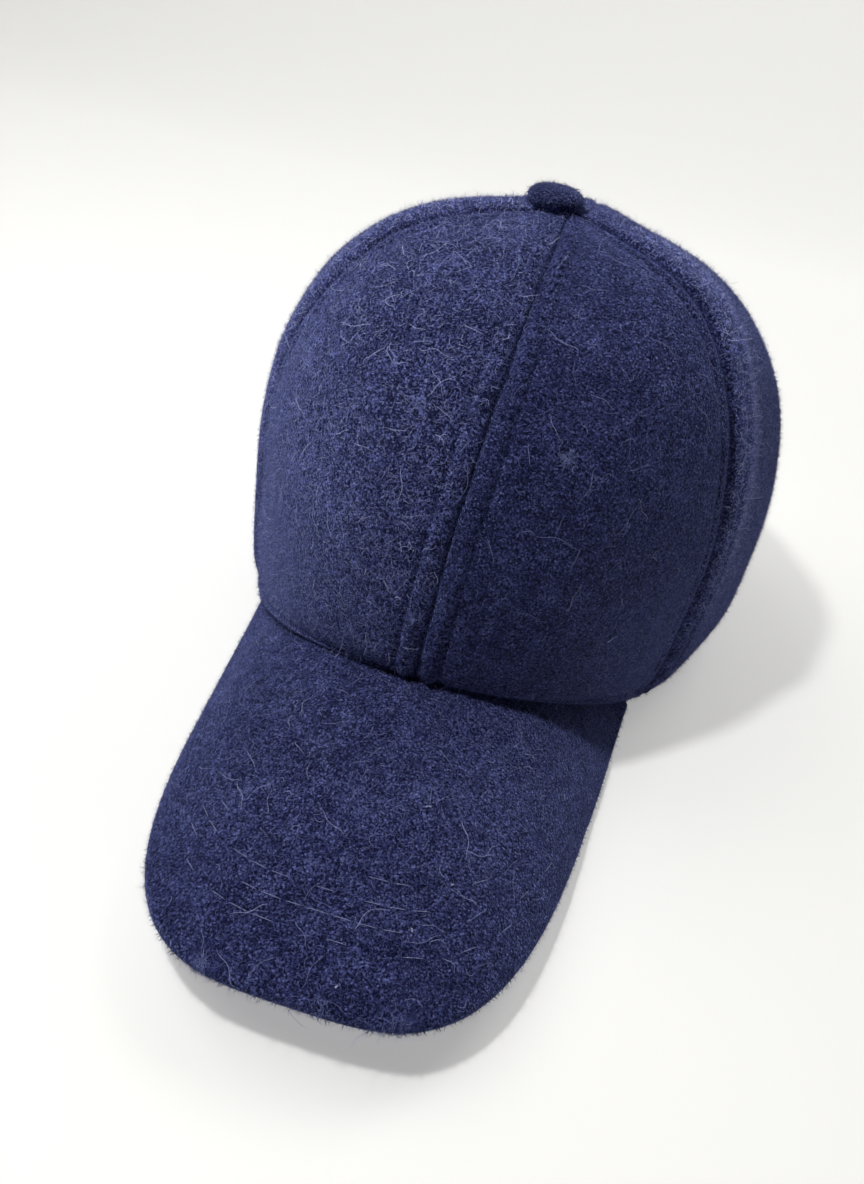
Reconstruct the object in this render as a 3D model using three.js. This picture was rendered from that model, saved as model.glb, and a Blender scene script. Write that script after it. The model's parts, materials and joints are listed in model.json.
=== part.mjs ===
// A six-panel cashmere baseball cap with a long arched peak and a covered top button.
// Millimetres, +Z up, standing on its rim. The peak points along -Y and +X is the wearer's left.
import * as THREE from 'three';

// Driving dimensions of the crown
const CROWN_HEIGHT = 149;
const CROWN_LEAN_X = 8;
const CROWN_LEAN_Y = 2;
const WALL = 2.2;
const PIECE_GAP = 0.3;
const SEAM_DIP = 0.9;
const SEAM_DIP_WIDTH = 4.5;
const TOP_HOLE_RADIUS = 4.5;
const SIDE_WALL_SHARE = 0.3;
const FRONT_PANEL_WIDENING = 3.5;

// One row for each seam, going round from the front: its angle, the rim's radius there, how far the
// soft side bulges past the rim, how high that bulge is, and how square the dome above it is.
const SEAMS = [
  { seam: 'front', angle: 0, rim: 92, bulge: 3.1, bulgeHeight: 41, squareness: 2.05 },
  { seam: 'fore_left', angle: 60, rim: 82.5, bulge: 5.2, bulgeHeight: 29, squareness: 2.7 },
  { seam: 'rear_left', angle: 120, rim: 103, bulge: 8, bulgeHeight: 30, squareness: 1.9 },
  { seam: 'back', angle: 180, rim: 92, bulge: 6.5, bulgeHeight: 43, squareness: 2.12 },
  { seam: 'rear_right', angle: 240, rim: 85, bulge: 6.5, bulgeHeight: 44, squareness: 1.98 },
  { seam: 'fore_right', angle: 300, rim: 80.5, bulge: 2, bulgeHeight: 52, squareness: 2.85 },
];

// The gores, each named for the wearer's side and running from one seam row to the next.
const PANELS = ['front_left', 'side_left', 'back_left', 'back_right', 'side_right', 'front_right'];

// Driving dimensions of the peak
const PEAK_END_ANGLE = 60;
const PEAK_REACH = 93.5;
const PEAK_HALF_WIDTH = 61.6;
const PEAK_SQUARENESS = 3.3;
const PEAK_ROOT_TAPER = 2;
const PEAK_THICKNESS = 4.2;
const PEAK_TUCK = 1.5;
const PEAK_ROOT_GAP = 0.5;
const PEAK_ROOT_HEIGHT = 37;
const PEAK_END_HEIGHT = 4.8;
const PEAK_FRONT_RISE = 14.9;
const PEAK_FRONT_ARCH = 1.6;
const PEAK_RESTING_SHARE = 0.14;
const PEAK_BOW = 3;
const PEAK_FRONT_SHIFT = -2.3;
const ROOT_ARCH = 1.3;
const RIM_LANDING_ANGLE = 30;

// Driving dimensions of the button
const BUTTON_RADIUS = 10;
const BUTTON_HEIGHT = 6;
const BUTTON_SHIFT_X = -5.2;
const BUTTON_SHIFT_Y = 1;
const BUTTON_CUP = 0.7;
const BUTTON_WAIST = 2.4;
const BUTTON_FOOT_SHARE = 0.86;
const BUTTON_DOME_ROUNDNESS = 0.7;

// Facet counts
const PANEL_COLUMNS = 8;
const PANEL_ROWS = 22;
const PEAK_COLUMNS = 36;
const PEAK_ROWS = 8;
const PEAK_COLUMN_CROWDING = 1.8;
const PEAK_LAST_SIDE = 0.999;
const PEAK_EDGE_ROWS = 3;
const BUTTON_SIDES = 24;
const BUTTON_DOME_STEPS = 6;

// Small steps for working out surface directions
const TINY_TURN = 0.01;
const TINY_CLIMB = 0.004;
const TINY_SIDE = 0.002;
const TINY_OUT = 0.05;
const TINY_EDGE = 0.0005;

const { abs, acos, cos, exp, max, min, pow, sign, sin, PI } = Math;
const HALF_TURN = PI;
const QUARTER_TURN = PI / 2;
const radians = THREE.MathUtils.degToRad;
const peakEnd = radians(PEAK_END_ANGLE);
const landing = radians(RIM_LANDING_ANGLE);

// A smooth closed curve through one column of the seam table, read at any angle round the crown.
function around(column, angle) {
  let value = 0;
  for (const row of SEAMS) {
    const turn = angle - radians(row.angle);
    value += row[column] * (1 + 2 * cos(turn) + 2 * cos(2 * turn) + cos(3 * turn));
  }
  return value / SEAMS.length;
}

// The rim lies flat on the floor behind and at the sides, and arches up over the peak's root.
function rimHeight(angle) {
  const fromFront = acos(cos(angle));
  if (fromFront < peakEnd) {
    const arch = pow(cos((fromFront / peakEnd) * QUARTER_TURN), ROOT_ARCH);
    return PEAK_END_HEIGHT + (PEAK_ROOT_HEIGHT - PEAK_END_HEIGHT) * arch;
  }
  const left = max(0, 1 - (fromFront - peakEnd) / landing);
  return PEAK_END_HEIGHT * left * left;
}

// A point of the crown's outer surface: climb 0 is the rim, SIDE_WALL_SHARE the bulge and 1 the top.
function crownPoint(angle, climb) {
  const rim = around('rim', angle);
  const belly = rim + around('bulge', angle);
  const low = rimHeight(angle);
  const bulgeHeight = max(around('bulgeHeight', angle), low + PEAK_BOW);
  let radius;
  let height;
  if (climb < SIDE_WALL_SHARE) {
    const share = climb / SIDE_WALL_SHARE;
    radius = belly - (belly - rim) * (1 - share) * (1 - share);
    height = low + (bulgeHeight - low) * share;
  } else {
    const turn = ((climb - SIDE_WALL_SHARE) / (1 - SIDE_WALL_SHARE)) * QUARTER_TURN;
    const power = 2 / around('squareness', angle);
    radius = belly * pow(max(0, cos(turn)), power);
    height = bulgeHeight + (CROWN_HEIGHT - bulgeHeight) * pow(max(0, sin(turn)), power);
  }
  const lean = (height / CROWN_HEIGHT) * (height / CROWN_HEIGHT);
  return new THREE.Vector3(
    radius * sin(angle) + CROWN_LEAN_X * lean,
    -radius * cos(angle) + CROWN_LEAN_Y * lean,
    height,
  );
}

// How far a panel climbs before it reaches the small hole under the button.
function climbToHole(angle) {
  const belly = around('rim', angle) + around('bulge', angle);
  const turn = acos(pow(TOP_HOLE_RADIUS / belly, around('squareness', angle) / 2));
  return SIDE_WALL_SHARE + (1 - SIDE_WALL_SHARE) * (turn / QUARTER_TURN);
}

// The crown's outward normal, from small steps round it and up it.
function crownNormal(angle, climb) {
  const round = crownPoint(angle + TINY_TURN, climb).sub(crownPoint(angle - TINY_TURN, climb));
  const up = crownPoint(angle, climb + TINY_CLIMB).sub(crownPoint(angle, max(0, climb - TINY_CLIMB)));
  return round.cross(up).normalize();
}

// Two grids of points with the same layout, the skin and the back of a wall, closed into one solid.
function wallGeometry(skin, back) {
  const columns = skin.length;
  const rows = skin[0].length;
  const count = columns * rows;
  const positions = [];
  for (const grid of [skin, back]) {
    for (const column of grid) {
      for (const p of column) positions.push(p.x, p.y, p.z);
    }
  }
  const index = [];
  const quad = (a, b, c, d) => index.push(a, b, c, a, c, d);
  const at = (i, j) => i * rows + j;
  for (let i = 0; i + 1 < columns; i += 1) {
    for (let j = 0; j + 1 < rows; j += 1) {
      quad(at(i, j), at(i + 1, j), at(i + 1, j + 1), at(i, j + 1));
      quad(count + at(i, j), count + at(i, j + 1), count + at(i + 1, j + 1), count + at(i + 1, j));
    }
    quad(at(i, 0), count + at(i, 0), count + at(i + 1, 0), at(i + 1, 0));
    quad(at(i, rows - 1), at(i + 1, rows - 1), count + at(i + 1, rows - 1), count + at(i, rows - 1));
  }
  for (let j = 0; j + 1 < rows; j += 1) {
    quad(at(0, j), at(0, j + 1), count + at(0, j + 1), count + at(0, j));
    const last = columns - 1;
    quad(at(last, j), count + at(last, j), count + at(last, j + 1), at(last, j + 1));
  }
  const geometry = new THREE.BufferGeometry();
  geometry.setAttribute('position', new THREE.Float32BufferAttribute(positions, 3));
  geometry.setIndex(index);
  geometry.computeVertexNormals();
  return geometry;
}

// The angle of a seam, counted on past the back to the front again: the front gores are a little wider.
function seamAngle(count) {
  const even = radians((360 / SEAMS.length) * count);
  return even + radians(FRONT_PANEL_WIDENING) * sin(2 * even);
}

// One gore between two seams: a cloth wall that dips into the seam along both of its long edges.
function panelGeometry(firstSeam) {
  const start = seamAngle(firstSeam);
  const span = seamAngle(firstSeam + 1) - start;
  const skin = [];
  const back = [];
  for (let i = 0; i <= PANEL_COLUMNS; i += 1) {
    const across = (1 - cos((i / PANEL_COLUMNS) * HALF_TURN)) / 2;
    skin.push([]);
    back.push([]);
    for (let j = 0; j <= PANEL_ROWS; j += 1) {
      const middle = start + span * across;
      const climb = (j / PANEL_ROWS) * climbToHole(middle);
      const radius = max(TOP_HOLE_RADIUS, crownRadius(middle, climb));
      const inset = PIECE_GAP / 2 / radius;
      const angle = start + inset + (span - 2 * inset) * across;
      const toSeam = min(across, 1 - across) * span * radius;
      const dip = SEAM_DIP * exp(-((toSeam / SEAM_DIP_WIDTH) ** 2));
      const normal = crownNormal(angle, climb);
      if (j === 0) normal.setZ(0).normalize();
      const point = crownPoint(angle, climb);
      skin[i].push(point.clone().addScaledVector(normal, -dip));
      back[i].push(point.addScaledVector(normal, -dip - WALL));
    }
  }
  return wallGeometry(skin, back);
}

// The crown's radius about its leaning middle.
function crownRadius(angle, climb) {
  const point = crownPoint(angle, climb);
  const lean = (point.z / CROWN_HEIGHT) * (point.z / CROWN_HEIGHT);
  return Math.hypot(point.x - CROWN_LEAN_X * lean, point.y - CROWN_LEAN_Y * lean);
}

// A point of the peak's upper face: side runs from -1 to 1 along the root, out from 0 to 1 to the edge.
function peakPoint(side, out) {
  const angle = side * peakEnd;
  const rootRadius = around('rim', angle) - PEAK_TUCK;
  const endRadius = around('rim', sign(side) * peakEnd) - PEAK_TUCK;
  const sweep = abs(side) * QUARTER_TURN;
  const wide = pow(sin(sweep), 2 / PEAK_SQUARENESS);
  const long = pow(max(0, cos(sweep)), 2 / PEAK_SQUARENESS);
  const joinEnd = pow(1 - long, PEAK_ROOT_TAPER);
  const endX = endRadius * sin(peakEnd);
  const endY = -endRadius * cos(peakEnd);
  const frontY = -(around('rim', 0) + PEAK_REACH);
  const edgeX = sign(side) * (PEAK_HALF_WIDTH * wide + (endX - PEAK_HALF_WIDTH) * joinEnd);
  const edgeY = endY + (frontY - endY) * long;
  const free = 1 - side ** 4;
  const x = rootRadius * sin(angle) * (1 - out) + edgeX * out + PEAK_FRONT_SHIFT * out * free;
  const y = -rootRadius * cos(angle) * (1 - out) + edgeY * out;
  const rise = max(0, 1 - pow(abs(side) / (1 - PEAK_RESTING_SHARE), PEAK_FRONT_ARCH));
  const edgeHeight = PEAK_END_HEIGHT - PEAK_ROOT_GAP + PEAK_FRONT_RISE * rise;
  const rootHeight = rimHeight(angle) - PEAK_ROOT_GAP;
  const bow = PEAK_BOW * 4 * out * (1 - out) * (1 - side * side);
  return new THREE.Vector3(x, y, rootHeight * (1 - out) + edgeHeight * out + bow);
}

// The peak: an arched board with a cloth cover, tucked under the crown's rim, its edge rounded over.
function peakGeometry() {
  const skin = [];
  const back = [];
  const edgeRadius = PEAK_THICKNESS / 2;
  for (let i = 0; i <= PEAK_COLUMNS; i += 1) {
    const across = (2 * i) / PEAK_COLUMNS - 1;
    const side = -sign(across) * PEAK_LAST_SIDE * (1 - pow(1 - abs(across), PEAK_COLUMN_CROWDING));
    skin.push([]);
    back.push([]);
    for (let j = 0; j <= PEAK_ROWS; j += 1) {
      const out = j / PEAK_ROWS;
      const normal = peakNormal(side, out);
      const point = peakPoint(side, out);
      skin[i].push(point);
      back[i].push(point.clone().addScaledVector(normal, -PEAK_THICKNESS));
    }
    const normal = peakNormal(side, 1);
    const along = peakPoint(side + TINY_EDGE, 1).sub(peakPoint(side - TINY_EDGE, 1));
    const outward = along.cross(normal).normalize();
    const middle = peakPoint(side, 1).addScaledVector(normal, -edgeRadius);
    for (let k = 1; k <= PEAK_EDGE_ROWS; k += 1) {
      const turn = (k / (PEAK_EDGE_ROWS + 0.5)) * QUARTER_TURN;
      const rim = middle.clone().addScaledVector(outward, edgeRadius * sin(turn));
      skin[i].push(rim.clone().addScaledVector(normal, edgeRadius * cos(turn)));
      back[i].push(rim.addScaledVector(normal, -edgeRadius * cos(turn)));
    }
  }
  return wallGeometry(skin, back);
}

// The upward normal of the peak's upper face.
function peakNormal(side, out) {
  const inside = min(out, 1 - TINY_OUT);
  const alongSide = peakPoint(side + TINY_SIDE, out).sub(peakPoint(side - TINY_SIDE, out));
  const alongOut = peakPoint(side, inside + TINY_OUT).sub(peakPoint(side, inside));
  const normal = alongOut.cross(alongSide).normalize();
  return normal.z < 0 ? normal.negate() : normal;
}

// The button: a padded disc, domed above and slightly cupped below to sit on the crown.
function buttonGeometry() {
  const profile = [new THREE.Vector2(0, BUTTON_CUP)];
  const footRadius = BUTTON_RADIUS * BUTTON_FOOT_SHARE;
  profile.push(new THREE.Vector2(footRadius, 0));
  profile.push(new THREE.Vector2((footRadius + 3 * BUTTON_RADIUS) / 4, BUTTON_WAIST / 2));
  for (let k = 0; k < BUTTON_DOME_STEPS; k += 1) {
    const turn = (k / BUTTON_DOME_STEPS) * QUARTER_TURN;
    const radius = BUTTON_RADIUS * pow(cos(turn), BUTTON_DOME_ROUNDNESS);
    profile.push(new THREE.Vector2(radius, BUTTON_WAIST + (BUTTON_HEIGHT - BUTTON_WAIST) * sin(turn)));
  }
  profile.push(new THREE.Vector2(0, BUTTON_HEIGHT));
  return new THREE.LatheGeometry(profile, BUTTON_SIDES).rotateX(QUARTER_TURN);
}

// Brushed navy cashmere for every piece, a shade lighter where the light catches the nap.
function cashmere(colour) {
  return new THREE.MeshStandardMaterial({ color: colour, roughness: 0.95, metalness: 0 });
}

const cap = new THREE.Group();
PANELS.forEach((name, firstSeam) => {
  const panel = new THREE.Mesh(panelGeometry(firstSeam), cashmere(0x2f3560));
  panel.name = `crown_panel_${name}`;
  cap.add(panel);
});

const peak = new THREE.Mesh(peakGeometry(), cashmere(0x2a3057));
peak.name = 'peak';
cap.add(peak);

const button = new THREE.Mesh(buttonGeometry(), cashmere(0x262c52));
button.name = 'top_button';
button.position.set(
  CROWN_LEAN_X + BUTTON_SHIFT_X,
  CROWN_LEAN_Y + BUTTON_SHIFT_Y,
  CROWN_HEIGHT + PIECE_GAP - BUTTON_CUP / 2,
);
cap.add(button);

// The origin is the middle of the footprint, on the floor.
const footprint = new THREE.Box3().setFromObject(cap);
cap.position.set(
  -(footprint.min.x + footprint.max.x) / 2,
  -(footprint.min.y + footprint.max.y) / 2,
  -footprint.min.z,
);

export default cap;
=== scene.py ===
# %% [markdown]
# # A navy cashmere cap
# This lesson dresses a six-panel cap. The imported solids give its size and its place, and they stay as they
# are. Around them we make what the eye sees: soft gores with sunken seams, a covered peak, a little button
# and, over everything, a fleece of fine hairs. We start by loading the solids and keeping their box.

# %% Load the frame
import json
import math

import bpy
import numpy as np
from mathutils import Matrix, Vector
from mathutils.bvhtree import BVHTree

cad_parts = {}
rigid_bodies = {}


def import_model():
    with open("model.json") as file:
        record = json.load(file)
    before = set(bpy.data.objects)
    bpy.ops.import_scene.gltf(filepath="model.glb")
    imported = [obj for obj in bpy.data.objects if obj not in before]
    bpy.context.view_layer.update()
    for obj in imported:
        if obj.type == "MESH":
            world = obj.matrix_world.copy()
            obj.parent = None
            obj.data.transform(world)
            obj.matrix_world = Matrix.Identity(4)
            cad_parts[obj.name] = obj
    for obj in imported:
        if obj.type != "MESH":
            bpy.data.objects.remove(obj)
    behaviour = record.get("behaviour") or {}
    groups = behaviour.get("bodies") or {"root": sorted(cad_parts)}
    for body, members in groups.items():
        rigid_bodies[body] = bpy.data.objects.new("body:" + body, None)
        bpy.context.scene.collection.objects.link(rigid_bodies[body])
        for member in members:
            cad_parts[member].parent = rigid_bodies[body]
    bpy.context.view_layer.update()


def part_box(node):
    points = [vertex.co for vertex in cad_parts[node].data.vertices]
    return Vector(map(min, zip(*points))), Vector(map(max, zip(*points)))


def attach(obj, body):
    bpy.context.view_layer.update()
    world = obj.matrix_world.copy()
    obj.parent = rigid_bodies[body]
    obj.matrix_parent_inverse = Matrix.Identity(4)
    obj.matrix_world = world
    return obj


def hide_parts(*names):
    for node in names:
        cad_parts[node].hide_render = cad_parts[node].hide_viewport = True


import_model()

# %% [markdown]
# ## The camera
# The camera is held close and looks down on the cap, a little from the wearer's left and rolled a little. It
# could be aimed with a Track To constraint, but a rolled view is easier to state as three axes.

# %% Camera
IMAGE_HEIGHT_PX = 1184
FOCAL_PX = 890
SENSOR_MM = 36
CAMERA_PLACE = Vector((0.0170, -0.2357, 0.2258))
CAMERA_AZIMUTH = math.radians(7.66)
CAMERA_ELEVATION = math.radians(39.51)
CAMERA_ROLL = math.radians(10.49)


def camera_axes(azimuth, elevation, roll):
    """Right, up and back of a camera that looks down at the cap and is rolled about its line of sight."""
    level = math.cos(elevation)
    back = Vector((math.sin(azimuth) * level, -math.cos(azimuth) * level, math.sin(elevation)))
    right = Vector((0, 0, 1)).cross(back).normalized()
    up = back.cross(right)
    turned_right = right * math.cos(roll) + up * math.sin(roll)
    turned_up = up * math.cos(roll) - right * math.sin(roll)
    return turned_right, turned_up, back


camera_right, camera_up, camera_back = camera_axes(CAMERA_AZIMUTH, CAMERA_ELEVATION, CAMERA_ROLL)
camera_data = bpy.data.cameras.new("camera")
camera_data.sensor_width = SENSOR_MM
camera_data.lens = FOCAL_PX / IMAGE_HEIGHT_PX * SENSOR_MM
camera_data.clip_start = 0.01
camera = bpy.data.objects.new("camera", camera_data)
camera.matrix_world = Matrix.Translation(CAMERA_PLACE) @ Matrix(
    (camera_right, camera_up, camera_back)
).transposed().to_4x4()
bpy.context.scene.collection.objects.link(camera)
bpy.context.scene.camera = camera
print("camera lens", round(camera_data.lens, 2), "mm")

# %% [markdown]
# ## Node maths as plain expressions
# A material is a web of nodes, and so is a Geometry Nodes tree. Wrapping a socket in a small class lets us
# write `1 - mask * 0.3` and have the Math nodes made for us. One method, `node`, makes any other node: its
# settings first, then its sockets. Another, `beside`, reads a second output of the same node.


# %% A socket that does sums
class Wire:
    """An output socket of a node tree. Sums with it add Math nodes to the tree."""

    def __init__(self, tree, socket):
        self.tree = tree
        self.socket = socket

    def node(self, kind, settings=None, inputs=None, output=0):
        """Makes any node in the same tree: settings first, then the values or links of its sockets."""
        made = self.tree.nodes.new(kind)
        for name, value in (settings or {}).items():
            if name == "stops":
                ramp = made.color_ramp
                for place, colour in value[:-2]:
                    ramp.elements.new(place).color = colour
                ramp.elements[0].position, ramp.elements[0].color = value[-2]
                ramp.elements[-1].position, ramp.elements[-1].color = value[-1]
            else:
                setattr(made, name, value)
        for name, value in (inputs or {}).items():
            if isinstance(value, Wire):
                self.tree.links.new(value.socket, made.inputs[name])
            else:
                made.inputs[name].default_value = value
        return Wire(self.tree, made.outputs[output])

    def beside(self, output):
        """Another output of the same node."""
        return Wire(self.tree, self.socket.node.outputs[output])

    def math(self, operation, *values):
        """One Math node."""
        inputs = dict(enumerate(values))
        return self.node("ShaderNodeMath", {"operation": operation}, inputs)

    def __add__(self, other):
        return self.math("ADD", self, other)

    def __sub__(self, other):
        return self.math("SUBTRACT", self, other)

    def __rsub__(self, other):
        return self.math("SUBTRACT", other, self)

    def __mul__(self, other):
        return self.math("MULTIPLY", self, other)

    __radd__ = __add__
    __rmul__ = __mul__

    def clamped(self):
        """The value, kept between 0 and 1."""
        return self.math("MINIMUM", self.math("MAXIMUM", self, 0.0), 1.0)

    def blend(self, first, second):
        """Colour first where this value is 0, colour second where it is 1."""
        inputs = {"Factor": self, 6: first, 7: second}
        return self.node("ShaderNodeMix", {"data_type": "RGBA"}, inputs, output=2)


FAINT_SHINE = 0.12


def new_material(name, roughness, sheen_weight=0.0, sheen_tint=(1, 1, 1, 1), sheen_roughness=0.5):
    """A material with one Principled shader, and a wire to start its sums from."""
    material = bpy.data.materials.new(name)
    material.use_nodes = True
    shader = material.node_tree.nodes["Principled BSDF"]
    shader.inputs["Roughness"].default_value = roughness
    shader.inputs["Specular IOR Level"].default_value = FAINT_SHINE
    shader.inputs["Sheen Weight"].default_value = sheen_weight
    shader.inputs["Sheen Tint"].default_value = sheen_tint
    shader.inputs["Sheen Roughness"].default_value = sheen_roughness
    start = Wire(material.node_tree, shader.outputs[0])
    return material, shader, start


def feed(wire, shader, socket):
    """Links a wire to one of the shader's sockets."""
    wire.tree.links.new(wire.socket, shader.inputs[socket])


print("node sums ready")

# %% [markdown]
# ## Meshes from points and faces
# Most pieces below start as a list of points and a list of faces. These helpers make the mesh, keep a value
# on each of its points for the nodes to read, put it in the scene and count its triangles.


# %% Mesh helpers
def smooth_mesh(name, points, faces, material=None):
    """A mesh with smooth faces, from points in metres."""
    mesh = bpy.data.meshes.new(name)
    mesh.from_pydata(points, [], faces)
    mesh.polygons.foreach_set("use_smooth", [True] * len(mesh.polygons))
    if material:
        mesh.materials.append(material)
    return mesh


def store(mesh, label, values):
    """Keeps one value on every point of a mesh."""
    attribute = mesh.attributes.new(label, "FLOAT", "POINT")
    attribute.data.foreach_set("value", np.asarray(values, np.float32))


def show(mesh):
    """The mesh as a piece of the scene, under its own name."""
    piece = bpy.data.objects.new(mesh.name, mesh)
    bpy.context.scene.collection.objects.link(piece)
    return piece


def triangle_count(piece):
    """How many triangles a piece has."""
    return sum(len(face.vertices) - 2 for face in piece.data.polygons)


print("mesh helpers ready")

# %% [markdown]
# ## The cashmere under the nap
# Brushed cashmere is a soft twill whose hairs have been raised and felted. What lies under the loose hairs is
# a dense speckle of little loops, a little under a millimetre apart: pale on top, with painted shade in the
# gaps between them. Voronoi cells give the loops, and noise of three sizes breaks them up. Worn spots let a
# fine twill show, so the cloth carries a `worn` value at every point. Every point also carries a tone. It is
# lower over the whole peak and the button, and it also holds painted light: painted shade where it drops, and
# a painted highlight where it rises above 1.

# %% Cloth material
NAVY_DEEP = (0.004, 0.005, 0.030, 1)
NAVY_LIGHT = (0.290, 0.340, 0.860, 1)
SHEEN_BLUE = (0.33, 0.41, 0.93, 1)
LOOPS_PER_M = 1200
GRAIN_PER_M = 2100
FELT_PER_M = 620
MOTTLE_PER_M = 140
HOLES_PER_M = 430
# How far the tone darkens or lightens the cloth colour, for painted shade and painted highlight.
TONE_SPAN = 0.6
TWILL_PER_M = 900


def scaled(colour, shade):
    """A colour made darker or paler by a shade."""
    return (*(channel * shade for channel in colour[:3]), 1)


def cashmere_material(name):
    """Felted navy cloth: loops with painted shade between, holes and twill where worn, and painted light and
    shade.
    """
    material, shader, start = new_material(name, 0.95, 0.87, SHEEN_BLUE, 0.38)
    place = start.node("ShaderNodeTexCoord", output="Object")
    cells = start.node("ShaderNodeTexVoronoi", None, {"Vector": place, "Scale": LOOPS_PER_M})
    # Pale loop tops with painted shade in the gaps between them.
    loops = ((0.62 - cells) * 2.2).clamped()
    grain = start.node("ShaderNodeTexNoise", None, {"Vector": place, "Scale": GRAIN_PER_M, "Detail": 1.0})
    felt = start.node(
        "ShaderNodeTexNoise", None, {"Vector": place, "Scale": FELT_PER_M, "Detail": 1.0, "Distortion": 1.2}
    )
    strands = (1 - felt.math("ABSOLUTE", felt - 0.5) * 11).clamped()
    mottle = start.node(
        "ShaderNodeTexNoise", None, {"Vector": place, "Scale": MOTTLE_PER_M, "Detail": 4.0, "Roughness": 0.6}
    )
    twill = start.node(
        "ShaderNodeTexWave",
        {"wave_type": "BANDS", "bands_direction": "DIAGONAL"},
        {"Vector": place, "Scale": TWILL_PER_M, "Distortion": 1.5, "Detail": 1.0, "Detail Scale": 3.0},
        output="Fac",
    )
    worn = start.node("ShaderNodeAttribute", {"attribute_name": "worn"}, output="Fac")
    holes = start.node("ShaderNodeTexVoronoi", None, {"Vector": place, "Scale": HOLES_PER_M})
    holes = ((0.5 - holes) * 3.0).clamped()
    pale = loops * 0.62 + strands * 0.5 - 0.26 + (grain - 0.5) * 1.5 + (mottle - 0.5) * 1.05
    pale = (pale + worn * (0.3 * twill - 0.1 - 0.8 * holes)).clamped()
    tone = start.node("ShaderNodeAttribute", {"attribute_name": "tone"}, output="Fac")
    # Above a tone of 1 lies a painted highlight band, whose speckle is softened and lifted.
    painted_highlight = ((tone - 1) * 1.6).clamped()
    pale = pale * (1 - painted_highlight * 0.5) + painted_highlight * 0.2
    # Dark and bright are shaded and lit copies of the cloth colour; the tone mixes them into painted shade
    # and painted highlight, and into the darker peak and button.
    dark = pale.blend(scaled(NAVY_DEEP, 1 - TONE_SPAN), scaled(NAVY_LIGHT, 1 - TONE_SPAN))
    bright = pale.blend(scaled(NAVY_DEEP, 1 + TONE_SPAN), scaled(NAVY_LIGHT, 1 + TONE_SPAN))
    share = ((tone - (1 - TONE_SPAN)) * (0.5 / TONE_SPAN)).clamped()
    feed(share.blend(dark, bright), shader, "Base Color")
    relief = (loops * 0.8 + strands * 0.4 + grain * 0.5) * (1 - worn * 0.6) + worn * twill * 0.7
    bump = start.node("ShaderNodeBump", None, {"Strength": 0.8, "Distance": 0.0006, "Height": relief})
    feed(bump, shader, "Normal")
    return material


crown_cloth = cashmere_material("crown_cashmere")
peak_cloth = cashmere_material("peak_cashmere")
button_cloth = cashmere_material("button_cashmere")
print("cloth materials:", crown_cloth.name, peak_cloth.name, button_cloth.name)

# %% [markdown]
# ## The crown's shape
# The six seams of the crown each have a row of sizes, as a tailor notes them: the rim, the bulge of the soft
# side, how high it bulges and how square the dome above it is. A smooth closed curve through the six rows
# gives those sizes at any angle, so the whole crown is one function of angle and climb. We could sculpt the
# crown by hand, but with a function the seams, the hem and the nap can all follow the same surface. Sizes of
# the cap are in millimetres and become metres when they are placed in the frame.

# %% Crown surface
MM = 0.001
SEAM_ANGLES = np.radians([0, 60, 120, 180, 240, 300])
CROWN = {
    "rim": np.array([92, 82.5, 103, 92, 85, 80.5]),
    "bulge": np.array([3.1, 5.2, 8, 6.5, 6.5, 2]),
    "bulge_height": np.array([41, 29, 30, 43, 44, 52]),
    "squareness": np.array([2.05, 2.7, 1.9, 2.12, 1.98, 2.85]),
}
CROWN_HEIGHT = 149
CROWN_LEAN = np.array([8, 2])
SIDE_WALL_SHARE = 0.3
TOP_HOLE_RADIUS = 1.2
PEAK_END = math.radians(60)
PEAK_END_HEIGHT = 4.8
PEAK_ROOT_HEIGHT = 37
ROOT_ARCH = 1.3
RIM_LANDING = math.radians(30)
BUTTON_SHIFT = np.array([-5.2, 1])


BUTTON_LOW, BUTTON_HIGH = (np.array(corner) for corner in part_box("top_button"))
BUTTON_MIDDLE = (BUTTON_LOW + BUTTON_HIGH) / 2
OFFSET = np.append(BUTTON_MIDDLE[:2] - (CROWN_LEAN + BUTTON_SHIFT) * MM, 0)


def in_frame(points_mm):
    """Millimetres about the crown's middle, as metres in the frame."""
    return points_mm * MM + OFFSET


def around(column, angle):
    """A smooth closed curve through the six seam rows of one size."""
    turn = np.asarray(angle)[..., None] - SEAM_ANGLES
    weight = (1 + 2 * np.cos(turn) + 2 * np.cos(2 * turn) + np.cos(3 * turn)) / len(SEAM_ANGLES)
    return weight @ CROWN[column]


def rim_height(angle):
    """The rim lies on the floor behind and at the sides, and arches over the peak's root."""
    from_front = np.arccos(np.cos(angle))
    arch = np.cos(np.minimum(from_front / PEAK_END, 1) * math.pi / 2) ** ROOT_ARCH
    over_peak = PEAK_END_HEIGHT + (PEAK_ROOT_HEIGHT - PEAK_END_HEIGHT) * arch
    left = np.clip(1 - (from_front - PEAK_END) / RIM_LANDING, 0, 1)
    return np.where(from_front < PEAK_END, over_peak, PEAK_END_HEIGHT * left**2)


def crown_polar(angle, climb):
    """Radius and height of the crown: climb 0 is the rim, 1 the top."""
    rim = around("rim", angle)
    belly = rim + around("bulge", angle)
    low = rim_height(angle)
    bulge_height = np.maximum(around("bulge_height", angle), low + 3)
    share = np.clip(climb / SIDE_WALL_SHARE, 0, 1)
    side_radius = belly - (belly - rim) * (1 - share) ** 2
    side_height = low + (bulge_height - low) * share
    turn = np.clip((climb - SIDE_WALL_SHARE) / (1 - SIDE_WALL_SHARE), 0, 1) * math.pi / 2
    power = 2 / around("squareness", angle)
    dome_radius = belly * np.clip(np.cos(turn), 0, 1) ** power
    dome_height = bulge_height + (CROWN_HEIGHT - bulge_height) * np.sin(turn) ** power
    on_side = climb < SIDE_WALL_SHARE
    return np.where(on_side, side_radius, dome_radius), np.where(on_side, side_height, dome_height)


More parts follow.
